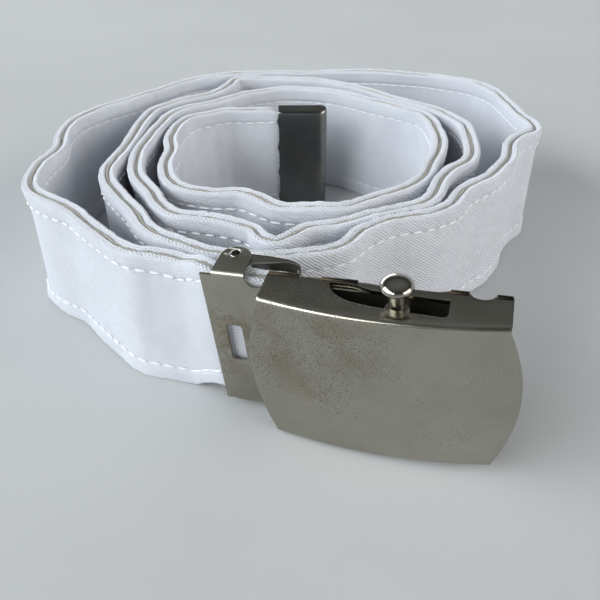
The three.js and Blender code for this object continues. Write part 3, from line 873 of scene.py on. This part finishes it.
def shell_sheet():
    """The bent sheet as a grid of sections, given its thickness."""
    rows = [shell_section(-1 + 2 * i / LENGTH_STEPS) for i in range(LENGTH_STEPS + 1)]
    count = len(rows[0])
    faces = []
    for i in range(LENGTH_STEPS):
        for k in range(count - 1):
            a = i * count + k
            faces.append((a, a + count, a + count + 1, a + 1))
    points = [p for row in rows for p in row]
    obj = mesh_object("buckle_shell_metal", points, faces)
    thick = obj.modifiers.new("thickness", "SOLIDIFY")
    thick.thickness = SHEET
    thick.offset = -1.0
    thick.use_even_offset = True
    return baked(obj)


# %% The slot, and the lips turned in from the rear edges
def bezier(p0, p1, p2, p3, steps=8):
    """Points of a cubic curve, without its first one."""
    t = np.linspace(0, 1, steps + 1)[1:, None]
    p0, p1, p2, p3 = (np.array(p, float) for p in (p0, p1, p2, p3))
    line = (1 - t) ** 3 * p0 + 3 * (1 - t) ** 2 * t * p1 + 3 * (1 - t) * t**2 * p2 + t**3 * p3
    return [tuple(p) for p in line]


def slot_outline():
    """The slot in U and W: wide at the left, where its rear edge steps back towards the wall's."""
    points = [(-9.6, -0.3)]
    points += bezier((-9.6, -0.3), (-9.3, 1.4), (-7.9, 3.1), (-5.2, 3.8))
    points += [(-2, 4.4), (3, 4.75), (10, 5.05)]
    points += bezier((10, 5.05), (10.8, 5.05), (11.1, 4.6), (11.1, 3.9), 5)
    points += [(11.1, 0.9), (-1.2, 0.55)]
    points += bezier((-1.2, 0.55), (-3.4, 0.5), (-3.8, -0.4), (-6.0, -0.48))
    points += [(-8.9, -0.5)]
    return points


def prism(name, outline, low, high):
    """A solid from an outline in U and W, between two heights V."""
    count = len(outline)
    points = [(u, low, w) for u, w in outline] + [(u, high, w) for u, w in outline]
    faces = [tuple(range(count)), tuple(reversed(range(count, 2 * count)))]
    faces += [(k, k + count, (k + 1) % count + count, (k + 1) % count) for k in range(count)]
    obj = mesh_object(name, points, faces)
    outward(obj)
    return obj


def cut(obj, cutter):
    """Boolean cut, applied at once."""
    modifier = obj.modifiers.new("cut", "BOOLEAN")
    modifier.operation = "DIFFERENCE"
    modifier.object = cutter
    modifier.solver = "EXACT"
    baked(obj)
    bpy.data.objects.remove(cutter)
    return obj


def rounded(obj, width, segments=2, angle=40):
    """Small bevels on the sharp edges, applied."""
    modifier = obj.modifiers.new("round", "BEVEL")
    modifier.width = width
    modifier.segments = segments
    modifier.limit_method = "ANGLE"
    modifier.angle_limit = math.radians(angle)
    modifier.use_clamp_overlap = True
    return baked(obj)


def lip(side, start, end, rear):
    """A strip folded inwards from a wall's rear edge, with its outer corner rounded by the fold."""
    root, tip = FACE_HALF_HEIGHT + LIP_PROUD, FACE_HALF_HEIGHT - SHEET - LIP_DEPTH
    profile = [
        (tip, rear), (root - 0.7, rear), (root - 0.2, rear + 0.15), (root, rear + 0.45),
        (root, rear + LIP_WIDTH - 0.2), (root - 0.45, rear + LIP_WIDTH), (tip, rear + 0.7),
    ]
    count = len(profile)
    points = [(u, side * v, w) for u in (start, end) for v, w in profile]
    faces = [tuple(range(count)), tuple(range(count, 2 * count))]
    faces += [(k, (k + 1) % count, (k + 1) % count + count, k + count) for k in range(count)]
    obj = mesh_object("lip", points, faces)
    outward(obj)
    return rounded(obj, 0.12)


LIPS = [  # start and end along U, and how far behind the wall's rear the lip stands
    (-20.9, -15.3, 0.0), (-11.2, -4.8, 0.0), (10.8, 13.9, 0.2), (18.3, 20.9, 0.2),
]


def buckle_shell():
    """The sheet with its slots cut and its lips added, in the buckle's place."""
    shell = shell_sheet()
    for side in (1, -1):
        low, high = sorted((side * (FACE_HALF_HEIGHT - 2), side * (FACE_HALF_HEIGHT + 1)))
        shell = cut(shell, prism("slot", slot_outline(), low, high))
    shell = rounded(shell, 0.13, 2, 50)
    smooth(shell, 32)
    lips = [lip(side, u0, u1, WALL_REAR_W - back) for side in (1, -1) for u0, u1, back in LIPS]
    lips = joined("lips", lips)
    paint(shell, NICKEL_FACE)
    # painted shade: the lips' nearly black colour stands for the shadowed gap at the walls' rear edges
    paint(lips, NICKEL_LIP)
    shell = joined("buckle_shell_metal", [shell, lips])
    shell.data.transform(BUCKLE)
    smooth(shell, 32)
    return shell


shell = buckle_shell()
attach(shell, "buckle")
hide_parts("buckle_shell")
print("shell", len(shell.data.polygons), "faces")

# %% [markdown]
# ## The hinge plate
# A flat plate slides in behind the walls and carries the clamp. Two ears bend back from its edges
# and hold the pin. A slot is punched through it, and round reliefs part the ears' bends from the
# shell. Plates like this are outlines with a thickness, so each is a filled curve, extruded, with a
# fine bevel for the burnished edge.


# %% Plates from outlines
def arc(cx, cy, radius, start, end, steps=12):
    """Points on an arc, with its angles in degrees."""
    return [
        (cx + radius * math.cos(math.radians(start + (end - start) * k / steps)),
         cy + radius * math.sin(math.radians(start + (end - start) * k / steps)))
        for k in range(steps + 1)
    ]


def flat_plate(name, outline, holes, thickness, bevel=0.1):
    """A plate in X and Y, centred on Z, as a mesh in millimetres."""
    curve = bpy.data.curves.new(name, "CURVE")
    curve.dimensions = "2D"
    curve.fill_mode = "BOTH"
    curve.extrude = thickness / 2 - bevel
    curve.bevel_depth = bevel
    curve.bevel_resolution = 1
    curve.offset = -bevel
    for points in [outline, *holes]:
        spline = curve.splines.new("POLY")
        spline.points.add(len(points) - 1)
        for point, (x, y) in zip(spline.points, points):
            point.co = (x, y, 0, 1)
        spline.use_cyclic_u = True
    source = added(name, curve)
    bpy.context.view_layer.update()
    evaluated = source.evaluated_get(bpy.context.evaluated_depsgraph_get())
    mesh = bpy.data.meshes.new_from_object(evaluated)
    bpy.data.objects.remove(source)
    obj = added(name, mesh)
    outward(obj)
    return obj


# X and Y of an outline become U and V on a plate that faces out, or U and W on an ear or arm.
FACING_W = Matrix.Identity(4)
FACING_V = Matrix(((1, 0, 0, 0), (0, 0, -1, 0), (0, 1, 0, 0), (0, 0, 0, 1)))


def placed(obj, facing, offset):
    """A plate's mesh turned and moved into the buckle's frame."""
    obj.data.transform(Matrix.Translation(offset) @ facing)
    return obj


# %% Hinge plate
PLATE_LEFT_U, PLATE_RIGHT_U = -34.0, 20.2
PLATE_HALF = 17.05
PLATE_SHEET = 0.7
EAR_OUTER_V = 17.9
EAR_SHEET = 0.8
PIN_RADIUS = 0.9
PIN_HOLE = [*arc(PIN_U, PIN_W, PIN_RADIUS + 0.06, 0, 345, 23)]
FOLD_INSET = 0.35  # the ears' fold starts this far inside the plate's edge
FOLD_STEPS = 6


def relief(side):
    """A round bite out of the plate's edge, as outline points running left to right along the edge."""
    bite = arc(-23.4, side * PLATE_HALF, 2.0, 180, 360, 14)
    return [(u, v) if side > 0 else (u, -PLATE_HALF + (-PLATE_HALF - v)) for u, v in bite]


def hinge_plate_outline():
    left, right, half = PLATE_LEFT_U, PLATE_RIGHT_U, PLATE_HALF
    top = [(left, half), *relief(1), (right, half)]
    low = [(left, -half), *relief(-1), (right, -half)]
    return top + low[::-1]


def punched_slot(u, half_width, half_height, corner=0.7):
    """A slot's outline with round corners, centred on the plate's middle line."""
    points = []
    for cx, cy, start in ((1, 1, 0), (-1, 1, 90), (-1, -1, 180), (1, -1, 270)):
        middle = (u + cx * (half_width - corner), cy * (half_height - corner))
        points += arc(*middle, corner, start, start + 90, 4)
    return points


def ear_outline():
    """An ear's straight sides and round end, in U and W."""
    half, middle = 3.05, PIN_W + 0.8
    return [(PIN_U - half, -0.5), *arc(PIN_U, middle, half, 180, 360, 30), (PIN_U + half, -0.5)]


def ear_bend(side):
    """The quarter-round fold between the plate's edge and an ear."""
    outer = EAR_OUTER_V - PLATE_HALF + FOLD_INSET
    rows = []
    for k in range(FOLD_STEPS + 1):
        a = math.pi / 2 * k / FOLD_STEPS
        for radius in (outer, outer - PLATE_SHEET):
            rows.append((PLATE_HALF - FOLD_INSET + radius * math.sin(a), -outer + radius * math.cos(a)))
    points, faces = [], []
    for u in (PIN_U - 3.1, PIN_U + 3.1):
        points += [(u, side * v, w) for v, w in rows]
    n = len(rows)
    for k in range(0, n - 2, 2):
        for a, b in ((k, k + 2), (k + 1, k + 3)):
            faces.append((a, b, b + n, a + n))
        faces.append((k, k + 1, k + 3, k + 2))
        faces.append((k + n, k + 1 + n, k + 3 + n, k + 2 + n))
    faces.append((0, 1, 1 + n, n))
    faces.append((n - 2, n - 1, 2 * n - 1, 2 * n - 2))
    obj = mesh_object("bend", points, faces)
    outward(obj)
    return obj


def hinge_plate():
    slot = punched_slot(-29.2, 1.6, 4.8)
    plate = flat_plate("plate", hinge_plate_outline(), [slot], PLATE_SHEET)
    parts = [placed(plate, FACING_W, (0, 0, -PLATE_SHEET / 2))]
    for side in (1, -1):
        ear = flat_plate("ear", ear_outline(), [PIN_HOLE], EAR_SHEET)
        parts.append(placed(ear, FACING_V, (0, side * (EAR_OUTER_V - EAR_SHEET / 2), 0)))
        parts.append(ear_bend(side))
    plate = joined("hinge_plate_metal", parts)
    plate.data.transform(BUCKLE)
    smooth(plate, 32)
    return paint(plate, NICKEL_PLATE)


hinge = hinge_plate()
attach(hinge, "buckle")
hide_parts("hinge_plate")
print("hinge plate", len(hinge.data.polygons), "faces")

# %% [markdown]
# ## Turned parts: pin, bar and knob
# Pins, bars and knobs are turned, so each is a profile spun about the V direction. The pin's ends are
# dished like a hollow rivet, and the knob is a flattened mushroom on the bar's neck.


# %% Turned parts
def turned(name, profile, u, w, sides=48):
    """A profile of (radius, V) spun about V at a place in U and W; it starts and ends on the axis."""
    points, rings = [], []
    for radius, v in profile:
        if radius < 1e-6:
            rings.append([len(points)])
            points.append((u, v, w))
            continue
        ring = []
        for k in range(sides):
            a = 2 * math.pi * k / sides
            ring.append(len(points))
            points.append((u + radius * math.cos(a), v, w + radius * math.sin(a)))
        rings.append(ring)
    faces = []
    for low, high in zip(rings, rings[1:]):
        for k in range(sides):
            a, b = low[k % len(low)], low[(k + 1) % len(low)]
            c, d = high[(k + 1) % len(high)], high[k % len(high)]
            faces.append(tuple(dict.fromkeys((a, b, c, d))))
    faces = [f for f in faces if len(f) > 2]
    obj = mesh_object(name, points, faces, BUCKLE)
    outward(obj)
    smooth(obj, 38)
    return obj


def pin_end(sign):
    """A hollow rivet's rolled rim and the hole inside it."""
    rim = [
        (PIN_RADIUS, 0.0), (1.12, 0.03), (1.18, 0.12), (1.08, 0.22), (0.92, 0.24), (0.8, 0.15),
        (0.74, -0.1), (0.7, -1.2), (0.4, -1.5), (0, -1.6),
    ]
    return [(radius, sign * (EAR_OUTER_V + rise)) for radius, rise in rim]


pin_profile = [*reversed(pin_end(-1)), *pin_end(1)]
clamp_pin = paint(turned("clamp_pin_metal", pin_profile, PIN_U, PIN_W, 32), NICKEL_SMALL)
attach(clamp_pin, "buckle")
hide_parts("clamp_pin")
print("clamp pin", len(clamp_pin.data.polygons), "faces")

# %% Lock bar
BAR_U, BAR_W = 2.6, 3.05
BAR_END = FACE_HALF_HEIGHT - SHEET - 0.25
NECK = 1.35
NECK_TOP = 20.6
bar_profile = [
    (0, -FACE_HALF_HEIGHT - 0.3), (NECK - 0.2, -FACE_HALF_HEIGHT - 0.3), (NECK, -FACE_HALF_HEIGHT - 0.1),
    (NECK, -BAR_END), (1.9, -BAR_END), (2.1, -BAR_END + 0.2), (2.1, BAR_END - 0.2), (1.9, BAR_END),
    (NECK, BAR_END), (NECK, NECK_TOP - 0.1), (NECK - 0.1, NECK_TOP), (0.8, NECK_TOP),
    (0.8, NECK_TOP + 1), (0, NECK_TOP + 1),
]
lock_bar = paint(turned("lock_bar_metal", bar_profile, BAR_U, BAR_W, 40), NICKEL_SMALL)
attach(lock_bar, "lock")
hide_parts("lock_bar")


# %% Knob
def knob_profile():
    """A flattened ball with a small flat underneath."""
    under = NECK_TOP + 0.12
    radius, height = 2.85, 1.4
    steps, first = 22, -72  # the round side runs from this angle, in degrees, up to the top
    points = [(0, under)]
    for k in range(steps + 1):
        a = math.radians(first + (90 - first) * k / steps)
        rise = math.sin(a) - math.sin(math.radians(first))
        points.append((max(0.0, radius * math.cos(a)), under + height * rise))
    return points


knob = paint(turned("lock_knob_metal", knob_profile(), BAR_U, BAR_W, 56), NICKEL_KNOB)
smooth(knob, 60)
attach(knob, "lock")
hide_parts("lock_knob")
print("bar and knob", len(lock_bar.data.polygons), len(knob.data.polygons), "faces")

# %% [markdown]
# ## The toothed clamp
# The clamp is a bent plate behind the strap with an arm at each edge, hung on the pin. Its free edge
# hooks forward into a row of teeth. The row repeats one tooth, so Geometry Nodes place them.

# %% Clamp sizes
CLAMP_HALF = 16.85
CLAMP_SHEET = 0.7
TOOTH_PITCH = 2.4
CLAMP_LINE = [  # the plate's middle line in U and W
    (-26.6, -7.3), (-22.4, -7.1), (-19.2, -6.75), (-17.9, -6.4), (-16.9, -5.9), (-16.3, -5.45),
]
CLAMP_THIN = [1.0, 1.0, 0.85, 0.7, 0.5, 0.3]  # its share of the thickness there: thin at the teeth


def clamp_plate():
    """The bent plate: its profile in U and W, thickened and drawn along V."""
    line = np.array(CLAMP_LINE)
    tangent = np.gradient(line, axis=0)
    tangent /= np.linalg.norm(tangent, axis=1)[:, None]
    thin = np.array(CLAMP_THIN)[:, None]
    normal = np.stack([-tangent[:, 1], tangent[:, 0]], 1) * CLAMP_SHEET / 2 * thin
    outline = [tuple(p) for p in line + normal] + [tuple(p) for p in (line - normal)[::-1]]
    obj = prism("clamp_plate", outline, -CLAMP_HALF, CLAMP_HALF)
    return rounded(obj, 0.1)


def clamp_arm_outline():
    """An arm in U and W, from its point at the teeth round the pin and back."""
    return [
        (-16.5, -5.45), (-17.4, -5.9), (-19.0, -6.2), (-22, -5.6), (-26, -4.7),
        *arc(PIN_U, PIN_W, 1.7, 50, 290, 24),
        (-26.4, -7.55), (-19.2, -7.05), (-17.9, -6.65), (-16.4, -5.65),
    ]


# %% Teeth by Geometry Nodes
def tooth_tree():
    tree, start, end = group_tree("clamp_teeth", [
        ("Float", "Width", 1.5), ("Float", "Depth", 0.9), ("Float", "Sheet", 0.6),
        ("Int", "Count", 13), ("Float", "Pitch", TOOTH_PITCH),
    ])
    step = node(tree, "ShaderNodeCombineXYZ")
    line = node(tree, "GeometryNodeMeshLine", mode="OFFSET")
    size = node(tree, "ShaderNodeCombineXYZ")
    cone = node(tree, "GeometryNodeMeshCone", {
        "Vertices": 4, "Radius Top": 0.1, "Radius Bottom": 0.7, "Depth": 1.0,
    })
    place = node(tree, "GeometryNodeInstanceOnPoints")
    realize = node(tree, "GeometryNodeRealizeInstances")
    finish = node(tree, "GeometryNodeSetMaterial")
    wire(tree, [
        (start, "Pitch", step, "Y"),
        (start, "Count", line, "Count"),
        (step, "Vector", line, "Offset"),
        (start, "Sheet", size, "X"),
        (start, "Width", size, "Y"),
        (start, "Depth", size, "Z"),
        (line, "Mesh", place, "Points"),
        (cone, "Mesh", place, "Instance"),
        (size, "Vector", place, "Scale"),
        (place, "Instances", realize, "Geometry"),
        (realize, "Geometry", finish, "Geometry"),
        (start, "Material", finish, "Material"),
        (finish, "Geometry", end, "Geometry"),
    ])
    return tree


def clamp_teeth():
    """The row of teeth on the hooked edge, drawn along Y and then stood in the buckle's frame."""
    count = int(2 * CLAMP_HALF / TOOTH_PITCH)
    teeth = grown(mesh_object("teeth", [(0, 0, 0)], []), tooth_tree(), {
        "Count": count, "Pitch": TOOTH_PITCH, "Material": NICKEL_SMALL,
    })
    lean = Matrix.Rotation(math.radians(22), 4, "Y")
    first = (-16.85, -(count - 1) * TOOTH_PITCH / 2, -5.2)
    teeth.data.transform(Matrix.Translation(first) @ lean)
    outward(teeth)
    return teeth


def clamp():
    parts = [clamp_plate(), clamp_teeth()]
    for side in (1, -1):
        arm = flat_plate("arm", clamp_arm_outline(), [PIN_HOLE], CLAMP_SHEET)
        parts.append(placed(arm, FACING_V, (0, side * (CLAMP_HALF - CLAMP_SHEET / 2), 0)))
    obj = joined("clamp_metal", parts)
    obj.data.transform(BUCKLE)
    smooth(obj, 32)
    return paint(obj, NICKEL_SMALL)


clamp_piece = clamp()
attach(clamp_piece, "clamp")
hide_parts("clamp")
print("clamp", len(clamp_piece.data.polygons), "faces")

# %% [markdown]
# ## The end tip
# The ferrule is a thin sheet folded round the strap's free end and pinched at its top and bottom. Its
# open edge is cut in small serrations and a few wider tongues, which bite the cloth. The outline in
# plan is a rounded U.


# %% End tip
TIP_CORNER = 1.5
TIP_TRIM = 0.5 - 0.5 * math.cos(math.pi * 0.12)  # rows crowd towards the two ends


def end_tip():
    inner = STRAP_HALF + 0.25
    sheet = 0.5
    outer = inner + sheet
    fold = COIL[0][0] - PLAN_CENTRE[0] + 0.85 + sheet
    length = 14.5
    middle_y = COIL[0][1] - PLAN_CENTRE[1]
    height = 32.6
    corner = 2.3
    # the sheet's outer line in plan: near cheek, fold, far cheek
    line = [(fold - length, -outer), *arc(fold - corner, -outer + corner, corner, -90, 0, 6),
            *arc(fold - corner, outer - corner, corner, 0, 90, 6), (fold - length, outer)]
    dense, _ = resampled(np.array([(x, y, 0) for x, y in line], float), 0.45)
    rows = 72
    stations = len(dense)
    points, faces = [], []
    for j in range(rows + 1):
        wave = 0.5 - 0.5 * math.cos(math.pi * (0.12 + 0.76 * j / rows))
        z = height * (wave - TIP_TRIM) / (1 - 2 * TIP_TRIM)
        depth = min(z, height - z)
        pinch = 1 - 0.86 * math.exp(-((depth / 0.75) ** 1.5))
        short = TIP_CORNER - math.sqrt(max(0.0, TIP_CORNER**2 - max(0.0, TIP_CORNER - depth) ** 2))
        serration = 0.12 * (2 * abs((z / 1.7) % 1 - 0.5) - 0.5)
        tooth = serration + 0.42 * math.exp(-((((z % 8.15) - 4.1) / 1.1) ** 2))
        for i, (x, y, _) in enumerate(dense):
            from_open = min(i, stations - 1 - i)
            bite = tooth * max(0.0, 1 - from_open / 2)
            crimp = 1 - 0.1 * max(0.0, 1 - from_open / 3)
            points.append((min(x, fold - short) - bite, middle_y + y * pinch * crimp, z))
    for j in range(rows):
        for i in range(stations - 1):
            a = j * stations + i
            faces.append((a, a + 1, a + 1 + stations, a + stations))
    obj = mesh_object("end_tip_metal", points, faces, Matrix.Scale(MM, 4))
    outward_from = Vector(((fold - length / 2) * MM, middle_y * MM, height / 2 * MM))
    first = obj.data.polygons[0]
    if first.normal.dot(first.center - outward_from) < 0:
        obj.data.flip_normals()
    thick = obj.modifiers.new("thickness", "SOLIDIFY")
    thick.thickness = sheet * 0.9 * MM
    thick.offset = -1.0
    baked(obj)
    rounded(obj, 0.1 * MM, 2, 50)
    smooth(obj, 40)
    return paint(obj, NICKEL_TIP)


tip = end_tip()
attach(tip, "strap")
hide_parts("end_tip")
print("tip", len(tip.data.polygons), "faces")

# %% [markdown]
# ## Floor and light
# A plain pale floor and a pale room. The main light is large and soft and comes from the left, as
# from a window, with weaker ones behind, in front and at the right. The shadows fall to the right
# and the white cloth keeps its modelling.


# %% Floor
FLOOR_HALF = 40.0  # metres from its middle to a side


def floor():
    """A plain pale floor at height 0."""
    corners = [(x * FLOOR_HALF, y * FLOOR_HALF, 0) for x, y in ((-1, -1), (1, -1), (1, 1), (-1, 1))]
    obj = mesh_object("studio_floor", corners, [(0, 1, 2, 3)])
    material, tree, shader = new_material("pale_floor")
    place = node(tree, "ShaderNodeTexCoord")
    soft = node(tree, "ShaderNodeTexNoise", {"Scale": 9.0, "Detail": 4.0, "Roughness": 0.55})
    tree.links.new(place.outputs["Object"], soft.inputs["Vector"])
    tone = ramp(tree, soft.outputs["Fac"], [(0.3, (0.56, 0.57, 0.565)), (0.7, (0.60, 0.61, 0.604))])
    tree.links.new(tone, shader.inputs["Base Color"])
    shader.inputs["Roughness"].default_value = 0.8
    shader.inputs["Specular IOR Level"].default_value = 0.15
    bump(tree, shader, [(soft.outputs["Fac"], 0.3 * MM, 0.1)])
    obj.data.materials.append(material)


floor()


# %% Lights
def area_light(name, place, target, size, power, color):
    data = bpy.data.lights.new(name, "AREA")
    data.shape = "RECTANGLE"
    data.size, data.size_y = size
    data.energy = power
    data.color = color
    obj = added(name, data)
    obj.location = place
    obj.rotation_euler = (Vector(target) - Vector(place)).to_track_quat("-Z", "Y").to_euler()


# the lights stand well back, so the floor around the belt is lit as evenly as the belt
area_light("window", (-4.6, -1.0, 2.48), (0, 0, 0.02), (5.2, 3.2), 285.0, (0.88, 0.94, 1.0))
area_light("far_window", (-2.0, 5.6, 1.4), (0, 0, 0.02), (5.2, 2.0), 115.0, (0.93, 0.965, 1.0))
area_light("room_fill", (5.0, -3.0, 2.4), (0, 0, 0), (5.6, 3.6), 255.0, (1.0, 0.99, 0.97))
area_light("front_window", (-3.72, -4.72, 3.0), (0, 0, 0.02), (2.4, 2.4), 105.0, (0.98, 0.99, 1.0))


def pale_room():
    """A room that is pale near the floor, dim towards the ceiling and dimmer in front than behind."""
    world = bpy.data.worlds.new("pale_room")
    bpy.context.scene.world = world
    world.use_nodes = True
    tree = world.node_tree
    background = tree.nodes["Background"]
    direction = node(tree, "ShaderNodeTexCoord")
    parts = node(tree, "ShaderNodeSeparateXYZ")
    tree.links.new(direction.outputs["Generated"], parts.inputs["Vector"])
    height = node(tree, "ShaderNodeMapRange", {"From Min": -0.1, "From Max": 1.0})
    tree.links.new(parts.outputs["Z"], height.inputs["Value"])
    tone = ramp(tree, height.outputs["Result"], [
        (0.0, (0.84, 0.88, 0.92)), (0.36, (0.76, 0.80, 0.86)),
        (0.62, (0.055, 0.055, 0.05)), (1.0, (0.30, 0.31, 0.32)),
    ])
    depth = node(tree, "ShaderNodeMapRange", {
        "From Min": -0.8, "From Max": 0.4, "To Min": 0.38, "To Max": 1.0,
    })
    tree.links.new(parts.outputs["Y"], depth.inputs["Value"])
    shaded = mixed(tree, 1.0, tone, depth.outputs["Result"], "MULTIPLY")
    tree.links.new(shaded, background.inputs["Color"])
    background.inputs["Strength"].default_value = 0.88


pale_room()
bpy.context.scene.view_settings.view_transform = "Standard"
print("lights set")
